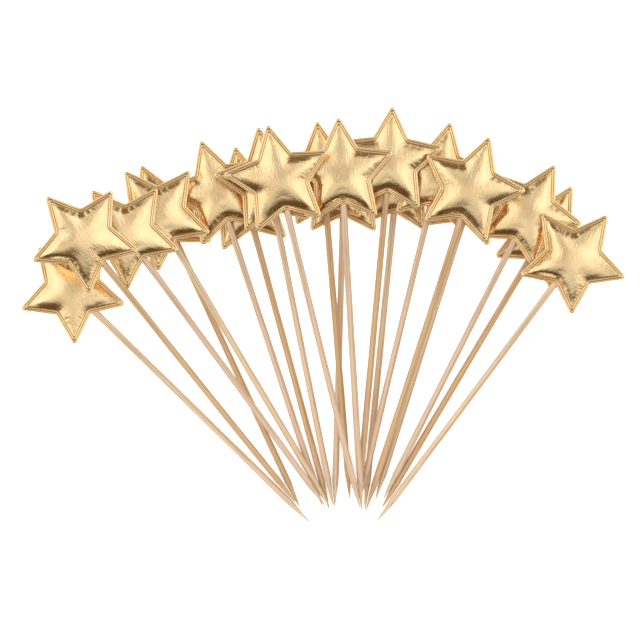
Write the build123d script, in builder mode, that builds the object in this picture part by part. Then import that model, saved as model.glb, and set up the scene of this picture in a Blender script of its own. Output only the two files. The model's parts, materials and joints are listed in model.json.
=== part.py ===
"""A fan of twenty cake picks: a padded gold star on a bamboo skewer, twenty times.

Every pick is built once in its own frame (star centre at the origin, the skewer
running down -Y, the star's front face up) and is then laid on the pile.
The pile is worked out here: each pick rests on the table and on the picks that
lie under it, so a change of any size below moves the whole pile with it.
Millimetres, +Z up, +Y away from the skewer points.
"""

import math
import os

import numpy as np
from build123d import *

os.makedirs("parts", exist_ok=True)

# Skewer: a stock bamboo stick with a whittled point
SKEWER_LENGTH = 150.0
SKEWER_DIAMETER = 3.0
POINT_LENGTH = 13.0
POINT_END_DIAMETER = 0.5
BUTT_CHAMFER = 0.25

# Star: two leather sheets welded round a flat rim over a foam core
ARMS = 5
STAR_TIP_RADIUS = 27.0
STAR_NOTCH_RADIUS = 14.0
TIP_ROUND = 1.4
NOTCH_ROUND = 0.9
RIM_WIDTH = 2.1
RIM_HALF_THICKNESS = 0.65
PAD_HALF_THICKNESS = 3.1
SHEET_THICKNESS = 0.6
GROOVE_WIDTH = 0.35
GROOVE_DEPTH = 0.15

# Fits
FOAM_CLEARANCE = 0.1
SKEWER_CLEARANCE = 0.05
TUNNEL_LIP = 1.5
TUNNEL_REACH = 6.0
STACK_CLEARANCE = 0.25

# Pile
GRID_STEP = 0.4
BALANCE_SHARE = 0.1

# Shape of the pad: tip radius, notch radius and height, as shares of the rim's inner
# outline and of the pad's rise above the rim
PAD_SHARES = (
    (1.00, 1.00, 0.00),
    (0.94, 0.96, 0.42),
    (0.84, 0.89, 0.70),
    (0.66, 0.78, 0.89),
    (0.42, 0.56, 1.00),
)

# One pick a line, left to right: fan angle and star twist in degrees, then shares:
# the point's place from the gathering point in skewer lengths, and how deep the
# skewer goes into the star in notch radii
PICKS = {
    "pick_01": (45.6, -7.0, -0.113, -0.044, 0.56),
    "pick_02": (38.2, 3.0, -0.144, 0.003, 0.32),
    "pick_03": (36.0, 1.5, -0.057, 0.000, 0.41),
    "pick_04": (30.4, 6.0, -0.046, 0.000, 0.38),
    "pick_05": (24.9, 0.0, -0.143, 0.003, 0.89),
    "pick_06": (18.2, 0.5, -0.071, 0.003, 0.63),
    "pick_07": (15.1, -4.0, -0.050, -0.003, 0.98),
    "pick_08": (11.2, 0.0, -0.035, 0.000, 0.60),
    "pick_09": (13.8, -1.5, 0.050, -0.009, 0.37),
    "pick_10": (4.7, 2.0, 0.016, 0.025, 0.84),
    "pick_11": (-1.6, 1.0, -0.032, 0.000, 0.91),
    "pick_12": (3.5, 0.0, 0.053, -0.013, 0.39),
    "pick_13": (-5.1, 2.0, 0.042, 0.019, 0.32),
    "pick_14": (-5.6, 0.0, 0.063, -0.006, 0.66),
    "pick_15": (-13.4, 0.0, 0.047, 0.025, 0.56),
    "pick_16": (-17.7, -2.0, 0.063, -0.019, 0.33),
    "pick_17": (-17.4, -2.0, 0.097, 0.025, 0.92),
    "pick_18": (-26.6, -2.5, 0.122, 0.028, 1.00),
    "pick_19": (-30.7, 1.0, 0.118, 0.000, 1.00),
    "pick_20": (-36.4, -1.0, 0.100, -0.047, 0.73),
}

# The picks that each pick lies over, read off the photograph pair by pair
LIES_OVER = {
    "pick_02": ("pick_01", "pick_03"),
    "pick_03": ("pick_04",),
    "pick_04": ("pick_05", "pick_06"),
    "pick_06": ("pick_05", "pick_07"),
    "pick_08": ("pick_06", "pick_07"),
    "pick_09": ("pick_06", "pick_08", "pick_10", "pick_12"),
    "pick_12": ("pick_10", "pick_11", "pick_13"),
    "pick_13": ("pick_14", "pick_15"),
    "pick_15": ("pick_14",),
    "pick_16": ("pick_13", "pick_15", "pick_17", "pick_18"),
    "pick_18": ("pick_19",),
    "pick_20": ("pick_18", "pick_19"),
}

SKEWER_RADIUS = SKEWER_DIAMETER / 2
TUNNEL_RADIUS = SKEWER_RADIUS + SKEWER_CLEARANCE + SHEET_THICKNESS
HALF_ARM = math.pi / ARMS
EDGE_REACH = (
    STAR_TIP_RADIUS
    * STAR_NOTCH_RADIUS
    * math.sin(HALF_ARM)
    / math.hypot(
        STAR_TIP_RADIUS - STAR_NOTCH_RADIUS * math.cos(HALF_ARM),
        STAR_NOTCH_RADIUS * math.sin(HALF_ARM),
    )
)


def pad_sections(skin):
    """Tip radius, notch radius and height of each pad section, a skin inside the outside."""
    rows = []
    rise = PAD_HALF_THICKNESS - RIM_HALF_THICKNESS
    tip = STAR_TIP_RADIUS * (1 - RIM_WIDTH / EDGE_REACH)
    notch = STAR_NOTCH_RADIUS * (1 - RIM_WIDTH / EDGE_REACH)
    for tip_share, notch_share, rise_share in PAD_SHARES:
        rows.append(
            (
                tip * tip_share - skin * STAR_TIP_RADIUS / EDGE_REACH,
                notch * notch_share - skin * STAR_NOTCH_RADIUS / EDGE_REACH,
                max(RIM_HALF_THICKNESS + rise * rise_share - skin, 0.0),
            )
        )
    return rows


def star_points(tip, notch, twist):
    """The ten corners of a star outline, its first arm a twist from +Y."""
    points = []
    for arm in range(ARMS):
        turn = math.pi / 2 + 2 * HALF_ARM * arm + math.radians(twist)
        points.append((tip * math.cos(turn), tip * math.sin(turn)))
        points.append(
            (notch * math.cos(turn + HALF_ARM), notch * math.sin(turn + HALF_ARM))
        )
    return points


def star_face(tip, notch, twist, share=1.0):
    """A star outline with rounded arms and notches, the roundings a share of their size."""
    with BuildSketch() as flat:
        Polygon(*star_points(tip, notch, twist), align=None)
        between = (tip + notch) / 2
        outer = [v for v in flat.vertices() if math.hypot(v.X, v.Y) > between]
        fillet(outer, TIP_ROUND * share)
        inner = [v for v in flat.vertices() if math.hypot(v.X, v.Y) < notch * 1.001]
        fillet(inner, NOTCH_ROUND * share)
    return flat.sketch


def rim_face(width, twist):
    """The rim's outline after every edge moves in by a width."""
    share = 1 - width / EDGE_REACH
    return star_face(STAR_TIP_RADIUS * share, STAR_NOTCH_RADIUS * share, twist)


def pad_solid(twist):
    """The pad's outside, from the weld plane up."""
    outside = pad_sections(0.0)
    tip, notch, _ = outside[0]
    with BuildPart() as pad:
        add(star_face(tip, notch, twist))
        for arm, gap, height in outside:
            with BuildSketch(Plane.XY.offset(height)):
                add(star_face(arm, gap, twist, arm / tip))
        loft(ruled=True)
    return pad.part


def hollow_solid(skin, twist):
    """The room inside the front sheet, or the foam that fills it."""
    inside = pad_sections(skin)
    with BuildPart() as hollow:
        with BuildSketch(Plane.XY):
            Polygon(*star_points(inside[0][0], inside[0][1], twist), align=None)
        for tip, notch, height in inside[1:]:
            with BuildSketch(Plane.XY.offset(height)):
                Polygon(*star_points(tip, notch, twist), align=None)
        loft(ruled=True)
    return hollow.part


def cover_front(twist):
    """The front sheet: flat welded rim, domed pad wall and the tunnel over the skewer."""
    mouth = Plane(
        origin=(0, -STAR_NOTCH_RADIUS - TUNNEL_LIP, 0), x_dir=(1, 0, 0), z_dir=(0, 1, 0)
    )
    groove_out = (RIM_WIDTH - GROOVE_WIDTH) / 2
    groove_in = (RIM_WIDTH + GROOVE_WIDTH) / 2
    with BuildPart() as cover:
        with BuildSketch():
            add(rim_face(0.0, twist))
        extrude(amount=RIM_HALF_THICKNESS)
        with BuildSketch(Plane.XY.offset(RIM_HALF_THICKNESS)):
            add(rim_face(groove_out, twist))
            add(rim_face(groove_in, twist), mode=Mode.SUBTRACT)
        extrude(amount=-GROOVE_DEPTH, mode=Mode.SUBTRACT)
        add(pad_solid(twist))
        with BuildSketch(mouth):
            Circle(TUNNEL_RADIUS)
        extrude(amount=TUNNEL_REACH)
        split(bisect_by=Plane.XY, keep=Keep.TOP)
        add(hollow_solid(SHEET_THICKNESS, twist), mode=Mode.SUBTRACT)
        with BuildSketch(mouth.offset(-TUNNEL_LIP)):
            Circle(SKEWER_RADIUS + SKEWER_CLEARANCE)
        extrude(amount=STAR_NOTCH_RADIUS + 2 * TUNNEL_LIP, mode=Mode.SUBTRACT)
    return cover.part


def foam_core(depth, twist):
    """The foam that fills the star, with the pocket that the skewer is glued into."""
    inside = pad_sections(SHEET_THICKNESS + FOAM_CLEARANCE)
    levels = [(tip, notch, -height) for tip, notch, height in reversed(inside[1:])]
    levels.append((inside[0][0], inside[0][1], 0.0))
    levels += inside[1:]
    pocket = Plane(
        origin=(0, -STAR_NOTCH_RADIUS, 0), x_dir=(1, 0, 0), z_dir=(0, 1, 0)
    )
    with BuildPart() as foam:
        for tip, notch, height in levels:
            with BuildSketch(Plane.XY.offset(height)):
                Polygon(*star_points(tip, notch, twist), align=None)
        loft(ruled=True)
        with BuildSketch(pocket):
            Circle(SKEWER_RADIUS + SKEWER_CLEARANCE)
        extrude(amount=depth + SKEWER_CLEARANCE, mode=Mode.SUBTRACT)
    return foam.part


def skewer(depth):
    """A round stick with a whittled point, its butt a depth inside the notch."""
    top = Plane(
        origin=(0, depth - STAR_NOTCH_RADIUS, 0), x_dir=(1, 0, 0), z_dir=(0, -1, 0)
    )
    with BuildPart() as stick:
        with BuildSketch(top):
            Circle(SKEWER_RADIUS)
        extrude(amount=SKEWER_LENGTH - POINT_LENGTH)
        butt = stick.faces().sort_by(Axis.Y)[-1]
        chamfer(butt.edges(), BUTT_CHAMFER)
        with BuildSketch(top.offset(SKEWER_LENGTH - POINT_LENGTH)):
            Circle(SKEWER_RADIUS)
        with BuildSketch(top.offset(SKEWER_LENGTH)):
            Circle(POINT_END_DIAMETER / 2)
        loft(ruled=True)
    return stick.part


def edge_radius(turn, tip, notch):
    """How far a star outline lies from its centre, at a turn from the nearest arm."""
    return (
        tip
        * notch
        * math.sin(HALF_ARM)
        / (tip * np.sin(turn) + notch * np.sin(HALF_ARM - turn))
    )


def half_height(u, v, twist, depth):
    """Half the thickness of a pick over points of its own plane."""
    turn = np.arctan2(u, v) + math.radians(twist)
    turn = np.abs((turn + HALF_ARM) % (2 * HALF_ARM) - HALF_ARM)
    out = np.hypot(u, v)
    rim = edge_radius(turn, STAR_TIP_RADIUS, STAR_NOTCH_RADIUS)
    high = np.where(out <= rim, RIM_HALF_THICKNESS, 0.0)
    rows = pad_sections(0.0)
    for (tip, notch, low), (next_tip, next_notch, top) in zip(rows, rows[1:]):
        far = edge_radius(turn, tip, notch)
        near = edge_radius(turn, next_tip, next_notch)
        rise = low + (top - low) * np.clip((far - out) / (far - near), 0.0, 1.0)
        high = np.where(out <= far, np.maximum(high, rise), high)
    mouth = -STAR_NOTCH_RADIUS - TUNNEL_LIP
    bump = np.sqrt(np.maximum(TUNNEL_RADIUS**2 - u**2, 0.0))
    high = np.where(
        (v >= mouth) & (v <= mouth + TUNNEL_REACH), np.maximum(high, bump), high
    )
    end = depth - STAR_NOTCH_RADIUS - SKEWER_LENGTH
    radius = np.interp(
        v, (end, end + POINT_LENGTH), (POINT_END_DIAMETER / 2, SKEWER_RADIUS)
    )
    stick = np.sqrt(np.maximum(radius**2 - u**2, 0.0))
    return np.where((v >= end) & (v <= mouth), np.maximum(high, stick), high)


class Laid:
    """A pick on the pile: where its star is in plan, and how thick it is there."""

    def __init__(self, name):
        fan, self.twist, x_share, y_share, depth_share = PICKS[name]
        self.fan = fan
        self.depth = depth_share * STAR_NOTCH_RADIUS
        reach = SKEWER_LENGTH + STAR_NOTCH_RADIUS - self.depth
        self.out = np.array((-math.sin(math.radians(fan)), math.cos(math.radians(fan))))
        self.side = np.array((self.out[1], -self.out[0]))
        point = np.array((x_share, y_share)) * SKEWER_LENGTH
        self.centre = point + reach * self.out
        self.balance = -BALANCE_SHARE * reach
        self.u = np.arange(-STAR_TIP_RADIUS, STAR_TIP_RADIUS + GRID_STEP, GRID_STEP)
        self.v = np.arange(-reach - GRID_STEP, STAR_TIP_RADIUS + GRID_STEP, GRID_STEP)
        u, v = np.meshgrid(self.u, self.v, indexing="ij")
        self.thick = half_height(u, v, self.twist, self.depth)
        self.places = (
            self.centre + u[..., None] * self.side + v[..., None] * self.out
        )
        self.ground = np.zeros(self.thick.shape)
        self.height = 0.0
        self.slope = 0.0

    def top_at(self, places):
        """The height that this pick reaches over some places, or a deep floor if clear."""
        away = places - self.centre
        u, v = away @ self.side, away @ self.out
        row = (u - self.u[0]) / GRID_STEP
        column = (v - self.v[0]) / GRID_STEP
        over = (row >= 0) & (row < len(self.u) - 1)
        over &= (column >= 0) & (column < len(self.v) - 1)
        i = np.where(over, row, 0).astype(int)
        j = np.where(over, column, 0).astype(int)
        corners = [self.thick[i + a, j + b] for a in (0, 1) for b in (0, 1)]
        thick = np.max(corners, axis=0)
        held = over & (thick > 0)
        return np.where(held, self.height + self.slope * v + thick, -np.inf)

    def cover(self, other):
        """Raise the ground under this pick to what another pick reaches there."""
        self.ground = np.maximum(self.ground, other.top_at(self.places) + STACK_CLEARANCE)

    def rest(self):
        """Lay the pick like a ruler on the two supports either side of its balance."""
        need = np.where(self.thick > 0, self.ground + self.thick, -np.inf).max(axis=0)
        held = np.isfinite(need)
        along, need = self.v[held], need[held]
        best = None
        inner = along < self.balance
        for v0, z0 in upper_hull(along[inner], need[inner]):
            slopes = (need[~inner] - z0) / (along[~inner] - v0)
            slope = slopes.max()
            height = z0 - slope * v0
            clear = (height + slope * along - need).min() > -1e-6
            level = height + slope * self.balance
            if clear and (best is None or level < best[0]):
                best = (level, height, slope)
        self.height, self.slope = best[1], best[2]

    def place(self):
        """The pick's frame in the pile."""
        pitch = math.degrees(math.atan(self.slope))
        at = Location((self.centre[0], self.centre[1], self.height))
        return at * Location((0, 0, 0), (0, 0, self.fan)) * Location((0, 0, 0), (pitch, 0, 0))


def upper_hull(x, y):
    """The corners of the upper hull of some points, in order of x."""
    hull = []
    for p in zip(x, y):
        while len(hull) > 1:
            (ax, ay), (bx, by) = hull[-2], hull[-1]
            if (bx - ax) * (p[1] - ay) - (by - ay) * (p[0] - ax) < 0:
                break
            hull.pop()
        hull.append(p)
    return hull


def lay_pile():
    """Every pick from the table up: of those with nothing left to lie over, the lowest next."""
    waiting = {name: Laid(name) for name in PICKS}
    laid = {}
    while waiting:
        ready = [name for name in waiting if not waiting.keys() & LIES_OVER.get(name, ())]
        for name in ready:
            waiting[name].rest()
        lowest = min(ready, key=lambda name: waiting[name].height)
        laid[lowest] = waiting.pop(lowest)
        for other in waiting.values():
            other.cover(laid[lowest])
    return laid


def plan_shift(laid):
    """The move that puts the middle of the pile's box, in plan, on the origin."""
    tip_centre = STAR_TIP_RADIUS * (1 - TIP_ROUND / EDGE_REACH)
    places = []
    for pick in laid.values():
        for arm in range(ARMS):
            turn = 2 * HALF_ARM * arm + math.radians(pick.twist)
            along = math.cos(turn) * pick.out - math.sin(turn) * pick.side
            places.append((pick.centre + tip_centre * along, TIP_ROUND))
        reach = SKEWER_LENGTH + STAR_NOTCH_RADIUS - pick.depth
        flat = math.cos(math.atan(pick.slope))
        places.append((pick.centre - reach * flat * pick.out, POINT_END_DIAMETER / 2))
    low = np.min([place - size for place, size in places], axis=0)
    high = np.max([place + size for place, size in places], axis=0)
    middle = (low + high) / 2
    return Location((-middle[0], -middle[1], 0))


def build():
    """Every piece of every pick by node name, and the frame of every pick."""
    laid = lay_pile()
    shift = plan_shift(laid)
    fronts = {}
    nodes = {}
    frames = {}
    for name in PICKS:
        pick = laid[name]
        place = shift * pick.place()
        if pick.twist not in fronts:
            front = cover_front(pick.twist)
            fronts[pick.twist] = (front.solids()[0], front.mirror(Plane.XY).solids()[0])
        foam = foam_core(pick.depth, pick.twist).solids()[0]
        stick = skewer(pick.depth).solids()[0]
        nodes[name + "_covers"] = [sheet.moved(place) for sheet in fronts[pick.twist]]
        nodes[name + "_foam_core"] = [foam.moved(place)]
        nodes[name + "_skewer"] = [stick.moved(place)]
        frames[name] = place
    return nodes, frames


if __name__ == "__main__":
    pieces, _ = build()
    for node, solids in pieces.items():
        export_step(Compound(label=node, children=solids), f"parts/{node}.step")
    print(len(pieces), "nodes")
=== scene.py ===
"""Dresses the fan of star picks: padded gold stars and split bamboo skewers."""

import json
import math
import random

import bpy
import numpy as np
from mathutils import Matrix, Vector
from mathutils.geometry import delaunay_2d_cdt


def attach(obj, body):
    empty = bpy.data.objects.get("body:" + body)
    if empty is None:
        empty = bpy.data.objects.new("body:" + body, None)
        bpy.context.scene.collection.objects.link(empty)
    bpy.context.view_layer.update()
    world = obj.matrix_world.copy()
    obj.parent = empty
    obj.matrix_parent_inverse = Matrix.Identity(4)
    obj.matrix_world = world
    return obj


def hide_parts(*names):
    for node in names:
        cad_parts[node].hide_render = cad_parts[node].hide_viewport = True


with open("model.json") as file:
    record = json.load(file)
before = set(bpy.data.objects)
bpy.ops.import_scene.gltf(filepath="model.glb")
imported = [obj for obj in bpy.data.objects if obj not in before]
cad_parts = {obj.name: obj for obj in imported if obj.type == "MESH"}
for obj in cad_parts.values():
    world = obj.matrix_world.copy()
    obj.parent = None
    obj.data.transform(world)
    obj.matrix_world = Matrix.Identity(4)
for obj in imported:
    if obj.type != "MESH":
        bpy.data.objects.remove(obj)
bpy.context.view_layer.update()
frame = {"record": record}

MM = 0.001

# Star sizes in mm, the same as the solids
ARMS = 5
STAR_TIP_RADIUS = 27.0
STAR_NOTCH_RADIUS = 14.0
TIP_ROUND = 1.4
NOTCH_ROUND = 0.9
RIM_WIDTH = 2.1
RIM_HALF_THICKNESS = 0.65
PAD_HALF_THICKNESS = 3.1

# Skewer sizes in mm, the same as the solids apart from a slightly finer point
SKEWER_LENGTH = 150.0
SKEWER_RADIUS = 1.5
POINT_LENGTH = 13.0
POINT_END_RADIUS = 0.22

# How the sheets run over the skewer, in mm: it sits a little towards the back, where the
# swelling is; heights of the front and back swelling, its spread, and where it starts on
# the way from the star's centre to the notch and over what length
SKEWER_DROP = 0.7
FRONT_SWELL = 0.42
BACK_SWELL = 1.70
SWELL_SPREAD = 2.6
SWELL_START = -7.5
SWELL_FADE = 4.0

# How far inside its edge each star form reaches its full height, in mm, the share of the
# full thickness it has and how many times it is eased, then how round all of them are
FORMS = ((2.7, 0.82, 4), (3.3, 0.90, 6), (5.0, 1.00, 10))
PAD_ROUNDNESS = 2.0

# How sharply the distances to the edges, and the heights of pad and ridge, blend into the
# least of them; the least value that is taken, in mm; and what makes up for the height
# that the blend between edges takes off
EDGE_BLEND = 2.0
HEIGHT_BLEND = 4.0
LEAST = 1e-3
SOFT_GAIN = 1.12

# How steeply an arm's ridge rises from the pad's tip towards the crown
RIDGE_SLOPE = 0.13

# Mesh density: steps round a corner and along an edge, then in mm the spacing of the pad's
# points, their distance from its edge and how near two count as one, and how far they
# stray as a share of the spacing
ARC_STEPS = 6
EDGE_STEPS = 20
PAD_SPACING = 0.7
PAD_MARGIN = 0.45
SAME_POINT = 1e-5
PAD_STRAY = 0.15

# Cloth: it runs enlarged, because such small cloth is below what the solver takes, and no
# point moves further than the cap, in mm
SIM_SCALE = 20.0
SIM_FRAMES = 14
MOVE_CAP = 0.7

# The rim from its cut edge in: place across the rim and height, as shares of the rim's
# width and half thickness, with the pressed line in the middle and the foot of the pad last
RIM_SHARES = (
    (0.00, 0.20),
    (0.04, 0.72),
    (0.12, 0.98),
    (0.34, 1.06),
    (0.42, 0.98),
    (0.49, 0.50),
    (0.56, 0.98),
    (0.64, 1.06),
    (0.80, 1.02),
    (0.87, 0.88),
    (0.93, 0.38),
)
PRESSED_ROW = 5
FOOT_ROW = 10

# Wrinkles square to the weld: how many waves make them up, then in mm their lengths along
# the weld, how far they reach into the pad, how high they are, what a notch adds to both,
# and how far from the weld they are full; they end over a share of the edge at each notch
WRINKLE_WAVES = 5
WRINKLE_LENGTHS = (0.9, 2.6)
WRINKLE_REACH = 1.6
WRINKLE_NOTCH_REACH = 2.6
WRINKLE_HEIGHT = 0.010
WRINKLE_NOTCH_HEIGHT = 0.014
WRINKLE_START = 0.6
WRINKLE_END_SHARE = 0.15

# Dents in the foam: how many, how far out as a share of the tip radius, then in mm their
# widths, their depths and how far from the weld they are full
DENT_COUNT = 4
DENT_SPREAD = 0.5
DENT_WIDTHS = (3.0, 6.0)
DENT_DEPTHS = (0.02, 0.10)
DENT_FULL_GAP = 3.0

# How far an arm's end is bent up at most; the height of the waves in the rim, how many go
# round and how far into the pad they reach; the waves of the cut edge, all sizes in mm
ARM_BEND = 0.3
RIM_WAVE = 0.10
RIM_WAVE_COUNTS = (2, 3, 5, 7)
RIM_WAVE_REACH = 4.0
CUT_WAVE = 0.05
CUT_WAVES = 6
CUT_WAVE_LENGTHS = (1.2, 6.0)

# Sticks: mesh density, bend, number and lengths of the lumps, sizes in mm, then the mean
# radius, the height of the lumps and the cut at the point as shares of the radius, and the
# power of the taper
STICK_SIDES = 14
STICK_RINGS = 60
POINT_RINGS = 12
STICK_BEND = 0.25
STICK_LUMPS = 3
LUMP_LENGTHS = (18, 60)
STICK_FULLNESS = 0.98
LUMP_HEIGHT = 0.010
POINT_CUT = 0.16
POINT_TAPER = 0.9

# Tones of the coat from dull to bright, of the painted shade in its creases and of the bare cut
# edge
GOLD_DULL = (0.88, 0.62, 0.31)
GOLD_PLAIN = (0.93, 0.68, 0.36)
GOLD_BRIGHT = (0.96, 0.74, 0.43)
PAINTED_CREASE_SHADE = (0.48, 0.40, 0.31)
CUT_EDGE_TONE = (0.33, 0.27, 0.20, 1.0)

# Light and dark fibres of each bamboo, and its worn streaks
BAMBOOS = {
    "bamboo_pale": ((0.76, 0.57, 0.375), (0.50, 0.34, 0.19)),
    "bamboo_tan": ((0.66, 0.435, 0.225), (0.42, 0.25, 0.11)),
    "bamboo_pink": ((0.73, 0.53, 0.365), (0.48, 0.32, 0.20)),
}
STREAK_TONE = (0.72, 0.58, 0.42)

# Star twist on its skewer in degrees and skewer depth in notch radii, as in the solids,
# then which star form and which bamboo the pick takes
PICKS = {
    "pick_01": (-7.0, 0.56, 2, 0),
    "pick_02": (3.0, 0.32, 0, 1),
    "pick_03": (1.5, 0.41, 0, 2),
    "pick_04": (6.0, 0.38, 0, 0),
    "pick_05": (0.0, 0.89, 1, 1),
    "pick_06": (0.5, 0.63, 1, 2),
    "pick_07": (-4.0, 0.98, 0, 1),
    "pick_08": (0.0, 0.60, 1, 0),
    "pick_09": (-1.5, 0.37, 2, 2),
    "pick_10": (2.0, 0.84, 0, 1),
    "pick_11": (1.0, 0.91, 1, 0),
    "pick_12": (0.0, 0.39, 0, 2),
    "pick_13": (2.0, 0.32, 2, 1),
    "pick_14": (0.0, 0.66, 1, 0),
    "pick_15": (0.0, 0.56, 0, 2),
    "pick_16": (-2.0, 0.33, 1, 1),
    "pick_17": (-2.0, 0.92, 2, 0),
    "pick_18": (-2.5, 1.00, 1, 2),
    "pick_19": (1.0, 1.00, 1, 1),
    "pick_20": (-1.0, 0.73, 0, 0),
}

# Which way the front crowns of some stars lean, as slopes along +X and +Y, and about what
# the filling's share comes to on a crown
LEANS = {
    "pick_01": (0.03, -0.03),
    "pick_02": (0.06, 0.0),
    "pick_03": (0.05, 0.0),
    "pick_06": (0.0, 0.06),
    "pick_09": (-0.04, 0.0),
    "pick_12": (0.0, 0.08),
    "pick_13": (0.0, 0.07),
    "pick_16": (0.05, 0.0),
    "pick_20": (0.12, 0.0),
}
FULL_FILL = 0.75

HALF_ARM = math.pi / ARMS
EDGE_REACH = (
    STAR_TIP_RADIUS
    * STAR_NOTCH_RADIUS
    * math.sin(HALF_ARM)
    / math.hypot(
        STAR_TIP_RADIUS - STAR_NOTCH_RADIUS * math.cos(HALF_ARM),
        STAR_NOTCH_RADIUS * math.sin(HALF_ARM),
    )
)


def star_corners(share):
    """The ten corners of a star outline, first arm on +Y, a share of the rim's size."""
    corners = []
    for arm in range(ARMS):
        turn = math.pi / 2 + 2 * HALF_ARM * arm
        tip = STAR_TIP_RADIUS * share
        corners.append(Vector((tip * math.cos(turn), tip * math.sin(turn))))
        turn += HALF_ARM
        notch = STAR_NOTCH_RADIUS * share
        corners.append(Vector((notch * math.cos(turn), notch * math.sin(turn))))
    return corners


PAD_CORNERS = np.array([tuple(p) for p in star_corners(1 - RIM_WIDTH / EDGE_REACH)])


def outline(inset):
    """A rounded star outline whose edges lie an inset inside the rim, as even points."""
    corners = star_corners(1 - inset / EDGE_REACH)
    arcs = []
    for i, corner in enumerate(corners):
        before = (corners[i - 1] - corner).normalized()
        after = (corners[(i + 1) % len(corners)] - corner).normalized()
        round_off = NOTCH_ROUND + inset
        if i % 2 == 0:
            round_off = max(TIP_ROUND - inset / 2, TIP_ROUND / 3)
        half = before.angle(after) / 2
        reach = round_off / math.tan(half)
        middle = corner + (before + after).normalized() * round_off / math.sin(half)
        start = corner + before * reach - middle
        sweep = start.angle_signed(corner + after * reach - middle)
        arc = []
        for k in range(ARC_STEPS + 1):
            turn = Matrix.Rotation(-sweep * k / ARC_STEPS, 2)
            arc.append(middle + turn @ start)
        arcs.append(arc)
    points = []
    for i, arc in enumerate(arcs):
        following = arcs[(i + 1) % len(arcs)][0]
        points += arc
        points += [arc[-1].lerp(following, k / EDGE_STEPS) for k in range(1, EDGE_STEPS)]
    return np.array([tuple(p) for p in points])


def edge_gaps(points):
    """How far points lie from each edge of the pad, and how far along it as a share."""
    runs = np.roll(PAD_CORNERS, -1, axis=0) - PAD_CORNERS
    away = points[:, None, :] - PAD_CORNERS[None, :, :]
    along = np.clip((away * runs).sum(axis=2) / (runs**2).sum(axis=1), 0.0, 1.0)
    gaps = np.linalg.norm(away - along[:, :, None] * runs, axis=2)
    return gaps, along


def edge_places(points):
    """How far points lie inside the pad's edge, how far along that edge, and which edge."""
    gaps, along = edge_gaps(points)
    nearest = gaps.argmin(axis=1)
    rows = np.arange(len(points))
    return gaps[rows, nearest], along[rows, nearest], nearest


def soft_least(values, blend):
    """The least of the values in each row, blended where some are nearly the same."""
    return (np.maximum(values, LEAST) ** -blend).sum(axis=1) ** (-1 / blend)


def inside_pad(points):
    """Which points lie inside the pad's edge."""
    turn = np.arctan2(points[:, 0], points[:, 1])
    turn = np.abs((turn + HALF_ARM) % (2 * HALF_ARM) - HALF_ARM)
    tip, notch = np.linalg.norm(PAD_CORNERS[:2], axis=1)
    far = tip * notch * math.sin(HALF_ARM)
    far = far / (tip * np.sin(turn) + notch * np.sin(HALF_ARM - turn))
    return np.linalg.norm(points, axis=1) < far


def pad_rise(flat, form):
    """The pad's height above the rim: steep at the weld, then a full crown with ridges."""
    full, thick_share, _ = FORMS[form]
    gap = soft_least(edge_gaps(flat)[0], EDGE_BLEND) * SOFT_GAIN
    rise = thick_share * PAD_HALF_THICKNESS - RIM_HALF_THICKNESS
    rise = rise * (1 - (1 - np.minimum(gap / full, 1.0)) ** PAD_ROUNDNESS)
    tip = np.linalg.norm(PAD_CORNERS[0])
    ridge = RIDGE_SLOPE * (tip - np.linalg.norm(flat, axis=1))
    return soft_least(np.column_stack([rise, ridge]), HEIGHT_BLEND)


def pad_sheet(form):
    """A flat-cut sheet over the pad: its points, triangles and how many are on its edge."""
    rnd = np.random.default_rng(form)
    ring = outline(RIM_WIDTH)
    row_gap = PAD_SPACING * math.sqrt(3) / 2
    rows = int(STAR_TIP_RADIUS / row_gap)
    j, i = np.meshgrid(np.arange(-rows, rows + 1), np.arange(-rows, rows + 1))
    grid = np.stack([(i + (j % 2) / 2) * PAD_SPACING, j * row_gap], axis=-1).reshape(-1, 2)
    grid += rnd.uniform(-PAD_STRAY, PAD_STRAY, grid.shape) * PAD_SPACING
    grid = grid[inside_pad(grid)]
    grid = grid[edge_places(grid)[0] > PAD_MARGIN]
    places = [Vector(p) for p in np.vstack([ring, grid])]
    edges = [(k, (k + 1) % len(ring)) for k in range(len(ring))]
    inner_faces = 1
    out = delaunay_2d_cdt(places, edges, [], inner_faces, SAME_POINT)
    return np.array([tuple(p) for p in out[0]]), out[2], len(ring)


def smoothed(values, faces, fixed, times):
    """Values at points, eased some times towards their neighbours, the first ones fixed."""
    pairs = np.array([(f[a], f[a - 1]) for f in faces for a in range(3)])
    pairs = np.vstack([pairs, pairs[:, ::-1]])
    count = np.bincount(pairs[:, 0], minlength=len(values))
    for _ in range(times):
        total = np.bincount(pairs[:, 0], weights=values[pairs[:, 1]], minlength=len(values))
        mean = total / np.maximum(count, 1)
        values = np.concatenate([values[:fixed], mean[fixed:]])
    return values


def cloth_on(sim, held):
    """A stiff cloth modifier with pressure under it, held by a group of points."""
    mod = sim.modifiers.new("cloth", "CLOTH")
    cloth = mod.settings
    cloth.quality = 6
    cloth.mass = 0.2
    cloth.tension_stiffness = 25
    cloth.compression_stiffness = 25
    cloth.shear_stiffness = 10
    cloth.bending_stiffness = 8
    cloth.vertex_group_mass = held
    cloth.shrink_min = -0.004
    cloth.use_pressure = True
    cloth.uniform_pressure_force = 4
    cloth.effector_weights.gravity = 0
    mod.collision_settings.use_collision = False
    mod.point_cache.frame_start = 1
    mod.point_cache.frame_end = SIM_FRAMES


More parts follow.
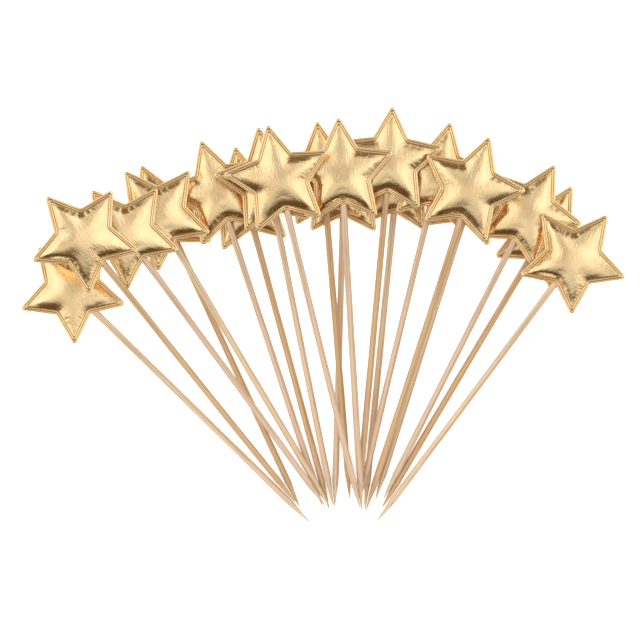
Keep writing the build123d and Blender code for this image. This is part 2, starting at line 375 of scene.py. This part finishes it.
def puff(flat, faces, rim_count, form):
    """The sheet blown up by simulated cloth, its edge held at the weld."""
    high = RIM_HALF_THICKNESS + pad_rise(flat, form)
    high[:rim_count] = RIM_HALF_THICKNESS
    start = np.column_stack([flat, high])
    mesh = bpy.data.meshes.new("sim")
    mesh.from_pydata((start * SIM_SCALE * MM).tolist(), [], faces)
    sim = bpy.data.objects.new("sim", mesh)
    bpy.context.scene.collection.objects.link(sim)
    held = sim.vertex_groups.new(name="held")
    held.add(list(range(rim_count)), 1.0, "REPLACE")
    cloth_on(sim, "held")
    for number in range(1, SIM_FRAMES + 1):
        bpy.context.scene.frame_set(number)
    got = sim.evaluated_get(bpy.context.evaluated_depsgraph_get()).to_mesh()
    out = np.array([tuple(v.co) for v in got.vertices]) / (SIM_SCALE * MM)
    bpy.data.objects.remove(sim)
    bpy.context.scene.frame_set(1)
    move = out - start
    length = np.linalg.norm(move, axis=1, keepdims=True)
    move *= np.minimum(1.0, MOVE_CAP / np.maximum(length, LEAST))
    out = start + move
    easings = FORMS[form][2]
    out[:, 2] = smoothed(out[:, 2], faces, rim_count, easings)
    return out


def star_form(front, back):
    """A closed padded star: a rim with its pressed line, its cut edge and two sheets."""
    points, faces, firsts, creases = [], [], [], []
    for side, (sheet, triangles, rim_count) in ((1, front), (-1, back)):
        rows = []
        for inset_share, height_share in RIM_SHARES:
            ring = outline(inset_share * RIM_WIDTH)
            first = len(points)
            points += [(x, y, side * height_share * RIM_HALF_THICKNESS) for x, y in ring]
            rows.append(range(first, first + len(ring)))
        base = len(points)
        points += [(x, y, side * z) for x, y, z in sheet]
        rows.append(range(base, base + rim_count))
        for outer, inner in zip(rows, rows[1:]):
            for k in range(rim_count):
                m = (k + 1) % rim_count
                faces.append((outer[k], outer[m], inner[m], inner[k])[::side])
        faces += [tuple(base + i for i in t)[::side] for t in triangles]
        firsts.append(rows[0])
        creases += [rows[PRESSED_ROW], rows[FOOT_ROW]]
    upper, lower = firsts
    for k in range(len(upper)):
        m = (k + 1) % len(upper)
        faces.append((lower[k], lower[m], upper[m], upper[k]))
    cut = np.zeros(len(points))
    for row in firsts:
        cut[row.start : row.stop] = 1.0
    # Points on the pressed line and the foot of the pad, where painted shade darkens the coat
    crease_shade = np.zeros(len(points))
    for row in creases:
        crease_shade[row.start : row.stop] = 1.0
    return np.array(points), faces, cut, crease_shade


def waves(rnd, along, count, lengths):
    """A sum of sine waves along an edge, with lengths between two sizes in mm."""
    total = np.zeros(len(along))
    for _ in range(count):
        pitch = rnd.uniform(*lengths)
        total += np.sin(2 * math.pi * along / pitch + rnd.uniform(0, 2 * math.pi))
    return total / math.sqrt(count)


def wrinkles(rnd, side, gap, along, edge):
    """Heights of fine wrinkles square to the weld, longest in the notches."""
    run = along * np.linalg.norm(PAD_CORNERS[1] - PAD_CORNERS[0])
    notch_near = np.where(edge % 2 == 0, along, 1 - along)
    ripple = np.zeros(len(gap))
    for number in range(2 * ARMS):
        for face in (-1, 1):
            here = (edge == number) & (side == face)
            ripple[here] = waves(rnd, run[here], WRINKLE_WAVES, WRINKLE_LENGTHS)
    reach = WRINKLE_REACH + WRINKLE_NOTCH_REACH * notch_near**2
    fade = np.exp(-((gap / reach) ** 2)) * np.minimum(gap / WRINKLE_START, 1.0)
    fade = fade * np.clip((1 - notch_near) / WRINKLE_END_SHARE, 0, 1)
    return ripple * fade * (WRINKLE_HEIGHT + WRINKLE_NOTCH_HEIGHT * notch_near**3)


def skewer_swell(flat, side, twist):
    """How far the sheets swell over the skewer, from the rim into the pad."""
    c, s = math.cos(math.radians(twist)), math.sin(math.radians(twist))
    x, y = c * flat[:, 0] - s * flat[:, 1], s * flat[:, 0] + c * flat[:, 1]
    swell = np.where(side > 0, FRONT_SWELL, BACK_SWELL) * np.exp(-((x / SWELL_SPREAD) ** 2))
    swell = swell * np.clip((SWELL_START - y) / SWELL_FADE, 0, 1)
    return np.where(y > -STAR_NOTCH_RADIUS - 2 * RIM_WIDTH, swell, 0.0)


def worked(points, twist, lean, seed):
    """A star's points with its uneven filling, wrinkles, swelling over its skewer and rim."""
    rnd = np.random.default_rng(seed)
    out = points.copy()
    flat = points[:, :2]
    side = np.sign(points[:, 2])
    high = np.abs(points[:, 2])
    gap, along, edge = edge_places(flat)
    on_pad = inside_pad(flat)
    outward = np.linalg.norm(flat, axis=1)
    turn = np.arctan2(flat[:, 1], flat[:, 0])

    high = high + np.where(on_pad, wrinkles(rnd, side, gap, along, edge), 0.0)

    # The filling is thicker towards one side of the front
    fill = np.clip((high - RIM_HALF_THICKNESS) / PAD_HALF_THICKNESS, 0, 1)
    high = high - np.where(side > 0, fill * (flat @ lean), 0.0)

    # A few shallow dents in the foam
    for _ in range(DENT_COUNT):
        spot = rnd.uniform(-DENT_SPREAD, DENT_SPREAD, 2) * STAR_TIP_RADIUS
        wide = rnd.uniform(*DENT_WIDTHS)
        dent = np.exp(-((flat - spot) ** 2).sum(axis=1) / wide**2)
        dent = dent * rnd.uniform(*DENT_DEPTHS) * np.minimum(gap / DENT_FULL_GAP, 1)
        high = high - np.where(on_pad, dent, 0.0)

    # Each arm is bent up a little
    spoke = np.round((turn - math.pi / 2) / (2 * HALF_ARM))
    bends = rnd.uniform(0.0, ARM_BEND, ARMS)[spoke.astype(int) % ARMS]
    flex = bends * np.clip((outward - STAR_NOTCH_RADIUS) / STAR_NOTCH_RADIUS, 0, 1) ** 2

    high = high + skewer_swell(flat, side, twist)

    # The rim waves a little out of its plane and its cut edge is not quite even
    wave = sum(
        rnd.uniform(-1, 1) * np.sin(k * turn + rnd.uniform(0, 2 * math.pi))
        for k in RIM_WAVE_COUNTS
    )
    near_rim = np.where(on_pad, np.clip(1 - gap / RIM_WAVE_REACH, 0, 1), 1.0)
    out[:, 2] = side * high + RIM_WAVE * wave * near_rim + flex
    ragged = np.where(on_pad, 0.0, np.clip(gap / RIM_WIDTH, 0, 1))
    shift = CUT_WAVE * waves(rnd, turn * STAR_NOTCH_RADIUS, CUT_WAVES, CUT_WAVE_LENGTHS) * ragged
    out[:, :2] += flat / outward[:, None].clip(LEAST) * shift[:, None]
    return out


def subdivided(mesh, name):
    """The mesh after one smooth subdivision, shaded smooth."""
    obj = bpy.data.objects.new(name, mesh)
    bpy.context.scene.collection.objects.link(obj)
    mod = obj.modifiers.new("sub", "SUBSURF")
    mod.levels = 1
    mod.render_levels = 1
    depsgraph = bpy.context.evaluated_depsgraph_get()
    out = bpy.data.meshes.new_from_object(obj.evaluated_get(depsgraph))
    bpy.data.objects.remove(obj)
    out.name = name
    out.polygons.foreach_set("use_smooth", [True] * len(out.polygons))
    return out


def stick_mesh(name, seed, depth):
    """A split bamboo stick: faintly lumpy, a little bent, with a hand-cut point."""
    rnd = random.Random(seed)
    bend = rnd.uniform(-STICK_BEND, STICK_BEND)
    skew = rnd.uniform(0, 2 * math.pi)
    lumps = []
    for _ in range(STICK_LUMPS):
        lumps.append((rnd.uniform(0, 2 * math.pi), rnd.uniform(*LUMP_LENGTHS)))
    butt = depth - STAR_NOTCH_RADIUS
    end = butt - SKEWER_LENGTH
    shank = SKEWER_LENGTH - POINT_LENGTH
    places = [butt - shank * k / STICK_RINGS for k in range(STICK_RINGS + 1)]
    places += [end + POINT_LENGTH * (1 - k / POINT_RINGS) for k in range(1, POINT_RINGS + 1)]
    points, faces = [], []
    for y in places:
        share = min((y - end) / POINT_LENGTH, 1.0)
        radius = POINT_END_RADIUS + (SKEWER_RADIUS - POINT_END_RADIUS) * share**POINT_TAPER
        off = bend * math.sin(math.pi * (butt - y) / SKEWER_LENGTH)
        drop = SKEWER_DROP * ((y - end) / SKEWER_LENGTH) ** 2
        for k in range(STICK_SIDES):
            turn = 2 * math.pi * k / STICK_SIDES
            lump = sum(
                math.sin((i + 2) * turn + start + 2 * math.pi * y / pitch)
                for i, (start, pitch) in enumerate(lumps)
            )
            cut = 1 - POINT_CUT * (1 - share) * max(0.0, math.cos(2 * (turn - skew)))
            r = radius * (STICK_FULLNESS + LUMP_HEIGHT * lump) * cut
            points.append((r * math.cos(turn) + off, y, r * math.sin(turn) - drop))
    for j in range(len(places) - 1):
        for k in range(STICK_SIDES):
            m = (k + 1) % STICK_SIDES
            a, b = j * STICK_SIDES, (j + 1) * STICK_SIDES
            faces.append((a + k, b + k, b + m, a + m))
    faces.append(tuple(range(STICK_SIDES)))
    faces.append(tuple(range(len(points) - STICK_SIDES, len(points)))[::-1])
    mesh = bpy.data.meshes.new(name)
    mesh.from_pydata([tuple(c * MM for c in p) for p in points], [], faces)
    mesh.polygons.foreach_set("use_smooth", [len(f) == 4 for f in faces])
    return mesh


def feed(tree, socket, value):
    """Links a node's output to a socket, or sets the socket to a plain value."""
    if hasattr(value, "is_output"):
        tree.links.new(value, socket)
    else:
        socket.default_value = value


def node(tree, kind, **inputs):
    """A new shader node with some of its inputs set or linked."""
    made = tree.nodes.new(kind)
    for key, value in inputs.items():
        feed(tree, made.inputs[key], value)
    return made


def ramp(tree, fac, stops):
    """A colour ramp over a factor."""
    made = tree.nodes.new("ShaderNodeValToRGB")
    tree.links.new(fac, made.inputs[0])
    bar = made.color_ramp
    while len(bar.elements) < len(stops):
        bar.elements.new(0.5)
    for element, (at, colour) in zip(bar.elements, stops):
        element.position = at
        element.color = (*colour, 1.0)
    return made.outputs[0]


def mixed(tree, blend, share, first, second):
    """Two colours mixed."""
    made = tree.nodes.new("ShaderNodeMixRGB")
    made.blend_type = blend
    for socket, value in zip(made.inputs, (share, first, second)):
        feed(tree, socket, value)
    return made.outputs[0]


def math_node(tree, operation, first, second):
    """A math node's output."""
    made = tree.nodes.new("ShaderNodeMath")
    made.operation = operation
    for socket, value in zip(made.inputs, (first, second)):
        feed(tree, socket, value)
    return made.outputs[0]


def ranged(tree, value, low, high):
    """A value between 0 and 1 spread over a range."""
    made = node(tree, "ShaderNodeMapRange", Value=value)
    made.inputs["To Min"].default_value = low
    made.inputs["To Max"].default_value = high
    return made.outputs[0]


def point_value(tree, name):
    """A value that the mesh keeps at its points."""
    made = tree.nodes.new("ShaderNodeAttribute")
    made.attribute_name = name
    return made.outputs["Fac"]


def grey(level):
    """A neutral colour."""
    return (level, level, level)


def stretched(tree, at, scale):
    """Coordinates stretched by a scale on each axis."""
    made = node(tree, "ShaderNodeMapping", Vector=at)
    made.inputs["Scale"].default_value = scale
    return made.outputs[0]


def new_material(name):
    """A material with its shader, its tree and its coordinates."""
    material = bpy.data.materials.new(name)
    material.use_nodes = True
    tree = material.node_tree
    shader = tree.nodes["Principled BSDF"]
    coords = tree.nodes.new("ShaderNodeTexCoord")
    return material, tree, shader, coords.outputs["Object"]


def gold_leather():
    """Metal-coated leather: fine grain that runs along the pick, an uneven coat, and painted
    shade in the rim's creases.
    """
    material, tree, shader, at = new_material("gold_leather_coat")
    blotch = node(tree, "ShaderNodeTexNoise", Vector=at, Scale=110.0, Detail=4.0, Roughness=0.6)
    tones = [(0.30, GOLD_DULL), (0.52, GOLD_PLAIN), (0.75, GOLD_BRIGHT)]
    colour = ramp(tree, blotch.outputs[0], tones)
    # Painted shade: the coat is darkened along the pressed line and the foot of the pad
    crease_shade = point_value(tree, "crease_shade")
    streaks_and_crease_shade = ramp(tree, crease_shade, [(0.10, grey(1)), (0.75, PAINTED_CREASE_SHADE)])
    colour = mixed(tree, "MULTIPLY", 1.0, colour, streaks_and_crease_shade)
    cut = point_value(tree, "cut_edge")
    bare = ramp(tree, cut, [(0.25, grey(0)), (0.60, grey(1))])
    tree.links.new(mixed(tree, "MIX", bare, colour, CUT_EDGE_TONE), shader.inputs["Base Color"])
    tree.links.new(math_node(tree, "SUBTRACT", 1.0, bare), shader.inputs["Metallic"])
    speck = node(tree, "ShaderNodeTexNoise", Vector=at, Scale=1100.0, Detail=3.0)
    tree.links.new(ranged(tree, speck.outputs[0], 0.15, 0.30), shader.inputs["Roughness"])
    hair_at = stretched(tree, at, (1500.0, 260.0, 1500.0))
    hair = node(tree, "ShaderNodeTexNoise", Vector=hair_at, Scale=1.0, Detail=3.0)
    fine = node(tree, "ShaderNodeBump", Height=hair.outputs[0], Strength=0.45, Distance=0.0002)
    pebble = tree.nodes.new("ShaderNodeTexVoronoi")
    pebble.feature = "SMOOTH_F1"
    pebble.inputs["Scale"].default_value = 2400.0
    tree.links.new(at, pebble.inputs["Vector"])
    pebble_high = pebble.outputs["Distance"]
    grain = node(tree, "ShaderNodeBump", Height=pebble_high, Strength=0.10, Distance=0.0001)
    tree.links.new(fine.outputs[0], grain.inputs["Normal"])
    tree.links.new(grain.outputs[0], shader.inputs["Normal"])
    return material


def bamboo(name, light, dark):
    """Split bamboo: long fibres, darker streaks, dry surface."""
    material, tree, shader, at = new_material(name)
    fibre_at = stretched(tree, at, (1300.0, 16.0, 1300.0))
    noise = node(tree, "ShaderNodeTexNoise", Vector=fibre_at, Scale=1.0, Detail=5.0)
    noise.inputs["Roughness"].default_value = 0.65
    fibre = noise.outputs[0]
    colour = ramp(tree, fibre, [(0.36, dark), (0.50, light), (0.70, light)])
    streak_at = stretched(tree, at, (900.0, 14.0, 900.0))
    streak = node(tree, "ShaderNodeTexNoise", Vector=streak_at, Scale=1.0, Detail=3.0)
    streaks_and_crease_shade = ramp(tree, streak.outputs[0], [(0.55, grey(1)), (0.78, STREAK_TONE)])
    tree.links.new(mixed(tree, "MULTIPLY", 0.8, colour, streaks_and_crease_shade), shader.inputs["Base Color"])
    tree.links.new(ranged(tree, fibre, 0.50, 0.72), shader.inputs["Roughness"])
    bump = node(tree, "ShaderNodeBump", Height=fibre, Strength=0.35, Distance=0.0002)
    tree.links.new(bump.outputs[0], shader.inputs["Normal"])
    return material


blown = []
for form in range(len(FORMS)):
    flat, triangles, rim_count = pad_sheet(form)
    blown.append((puff(flat, triangles, rim_count, form), triangles, rim_count))
star_forms = [star_form(sheet, sheet) for sheet in blown]

gold = gold_leather()
bamboos = [bamboo(name, light, dark) for name, (light, dark) in BAMBOOS.items()]

points_of = {mount["name"]: mount for mount in frame["record"]["mounts"]}
for number, (name, (twist, depth_share, form, tone)) in enumerate(PICKS.items()):
    mount = points_of[name + "_point"]
    along = -Vector(mount["axis"]).normalized()
    across = Vector((along.y, -along.x, 0)).normalized()
    normal = across.cross(along)
    depth = depth_share * STAR_NOTCH_RADIUS
    reach = (SKEWER_LENGTH + STAR_NOTCH_RADIUS - depth) * MM
    centre = Vector(mount["pos_m"]) + along * reach
    place = Matrix.Translation(centre) @ Matrix((across, along, normal)).transposed().to_4x4()

    points, faces, cut, crease_shade = star_forms[form]
    raw = bpy.data.meshes.new(name + "_raw")
    lean = Vector(LEANS.get(name, (0.0, 0.0))).to_3d() / FULL_FILL
    turned = Matrix.Rotation(math.radians(twist), 3, "Z")
    lean = turned.transposed() @ Vector((lean.dot(across), lean.dot(along), 0.0))
    raw.from_pydata((worked(points, twist, np.array(lean.xy), number) * MM).tolist(), [], faces)
    raw.attributes.new("cut_edge", "FLOAT", "POINT").data.foreach_set("value", cut)
    # The crease mask carries the painted shade to the coat
    raw.attributes.new("crease_shade", "FLOAT", "POINT").data.foreach_set("value", crease_shade)
    mesh = subdivided(raw, name + "_star")
    mesh.materials.append(gold)
    star = bpy.data.objects.new(name + "_star", mesh)
    bpy.context.scene.collection.objects.link(star)
    star.matrix_world = place @ turned.to_4x4()
    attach(star, name)
    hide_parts(name + "_covers", name + "_foam_core")

    stick = bpy.data.objects.new(name + "_stick", stick_mesh(name + "_stick", number, depth))
    bpy.context.scene.collection.objects.link(stick)
    stick.matrix_world = place
    stick.data.materials.append(bamboos[tone])
    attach(stick, name)
    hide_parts(name + "_skewer")


def table():
    """A white table top that the picks lie on, white to the camera and in the gold."""
    half = 1.5
    drop = 0.0004
    paint = (0.92, 0.92, 0.92, 1)
    glow = 0.6
    mesh = bpy.data.meshes.new("floor")
    corners = ((-half, -half), (half, -half), (half, half), (-half, half))
    mesh.from_pydata([(x, y, -drop) for x, y in corners], [], [(0, 1, 2, 3)])
    floor = bpy.data.objects.new("floor", mesh)
    bpy.context.scene.collection.objects.link(floor)
    material, tree, shader, _ = new_material("white_table")
    shader.inputs["Base Color"].default_value = paint
    shader.inputs["Roughness"].default_value = 0.9
    shader.inputs["Emission Color"].default_value = (1, 1, 1, 1)
    path = tree.nodes.new("ShaderNodeLightPath")
    seen = math_node(tree, "ADD", path.outputs["Is Camera Ray"], path.outputs["Is Glossy Ray"])
    tree.links.new(math_node(tree, "MULTIPLY", seen, glow), shader.inputs["Emission Strength"])
    mesh.materials.append(material)


def studio():
    """A soft studio: bright to the left and right, dark gaps before and behind the table."""
    world = bpy.data.worlds.new("studio")
    bpy.context.scene.world = world
    world.use_nodes = True
    sky = world.node_tree
    at = sky.nodes.new("ShaderNodeTexCoord")
    split = sky.nodes.new("ShaderNodeSeparateXYZ")
    sky.links.new(at.outputs["Generated"], split.inputs[0])
    x, y, z = split.outputs

    # From the horizon up to straight overhead
    dark = (0.11, 0.065, 0.023)
    dusk = (0.19, 0.12, 0.052)
    sides = ramp(
        sky,
        z,
        [
            (0.0, grey(0.85)),
            (0.30, grey(1.14)),
            (0.90, grey(1.42)),
            (0.955, grey(1.36)),
            (0.983, grey(0.78)),
            (0.994, grey(0.58)),
            (1.0, grey(0.56)),
        ],
    )
    behind = ramp(
        sky,
        z,
        [
            (0.0, grey(0.85)),
            (0.26, grey(1.04)),
            (0.36, dusk),
            (0.82, dusk),
            (0.93, grey(0.80)),
            (1.0, grey(0.62)),
        ],
    )
    before = ramp(
        sky,
        z,
        [
            (0.0, grey(0.60)),
            (0.12, dark),
            (0.70, dark),
            (0.83, grey(0.45)),
            (0.91, grey(0.90)),
            (0.965, grey(0.94)),
            (0.982, grey(0.64)),
            (1.0, grey(0.56)),
        ],
    )

    # How much of the level direction is along Y, from 0 at the sides to 1
    least = 1e-4
    x2 = math_node(sky, "MULTIPLY", x, x)
    y2 = math_node(sky, "MULTIPLY", y, y)
    flat2 = math_node(sky, "ADD", math_node(sky, "ADD", x2, y2), least)
    lengthwise = math_node(sky, "DIVIDE", y2, flat2)
    near = ramp(sky, lengthwise, [(0.24, grey(0)), (0.60, grey(1))])
    far = ramp(sky, lengthwise, [(0.42, grey(0)), (0.76, grey(1))])
    near = mixed(sky, "MIX", near, sides, before)
    far = mixed(sky, "MIX", far, sides, behind)

    # A ramp starts at 0, so Y is moved up before it parts near from far
    lift = 0.5
    up = ramp(sky, math_node(sky, "ADD", y, lift), [(0.45, grey(0)), (0.55, grey(1))])
    shade = mixed(sky, "MIX", up, near, far)
    sky.links.new(shade, sky.nodes["Background"].inputs["Color"])
    sky.nodes["Background"].inputs["Strength"].default_value = 1.0


def lamp():
    """A wide soft lamp overhead for the bamboo and the table, kept out of the gold."""
    tilt = (math.radians(-15), math.radians(-20), 0)
    data = bpy.data.lights.new("soft_lamp", "SUN")
    data.energy = 1.1
    data.angle = math.radians(70)
    made = bpy.data.objects.new("soft_lamp", data)
    bpy.context.scene.collection.objects.link(made)
    made.rotation_euler = tilt
    made.visible_glossy = False


def camera():
    """The camera straight above, its picture upright along +Y."""
    height = 1.2
    picture_pixels = 640
    mm_per_pixel = 0.471
    # The height above the table at which that scale holds
    scale_level = 0.004
    fan_centre_pixel = (321.4, 316.3)
    data = bpy.data.cameras.new("camera")
    made = bpy.data.objects.new("camera", data)
    bpy.context.scene.collection.objects.link(made)
    bpy.context.scene.camera = made
    data.sensor_fit = "AUTO"
    data.sensor_width = 36.0
    data.lens = data.sensor_width * (height - scale_level) / (picture_pixels * mm_per_pixel * MM)
    data.clip_end = 10.0
    data.dof.use_dof = False
    made.location = (
        (picture_pixels / 2 - fan_centre_pixel[0]) * mm_per_pixel * MM,
        (fan_centre_pixel[1] - picture_pixels / 2) * mm_per_pixel * MM,
        height,
    )


table()
studio()
lamp()
camera()
bpy.context.scene.view_settings.view_transform = "Standard"
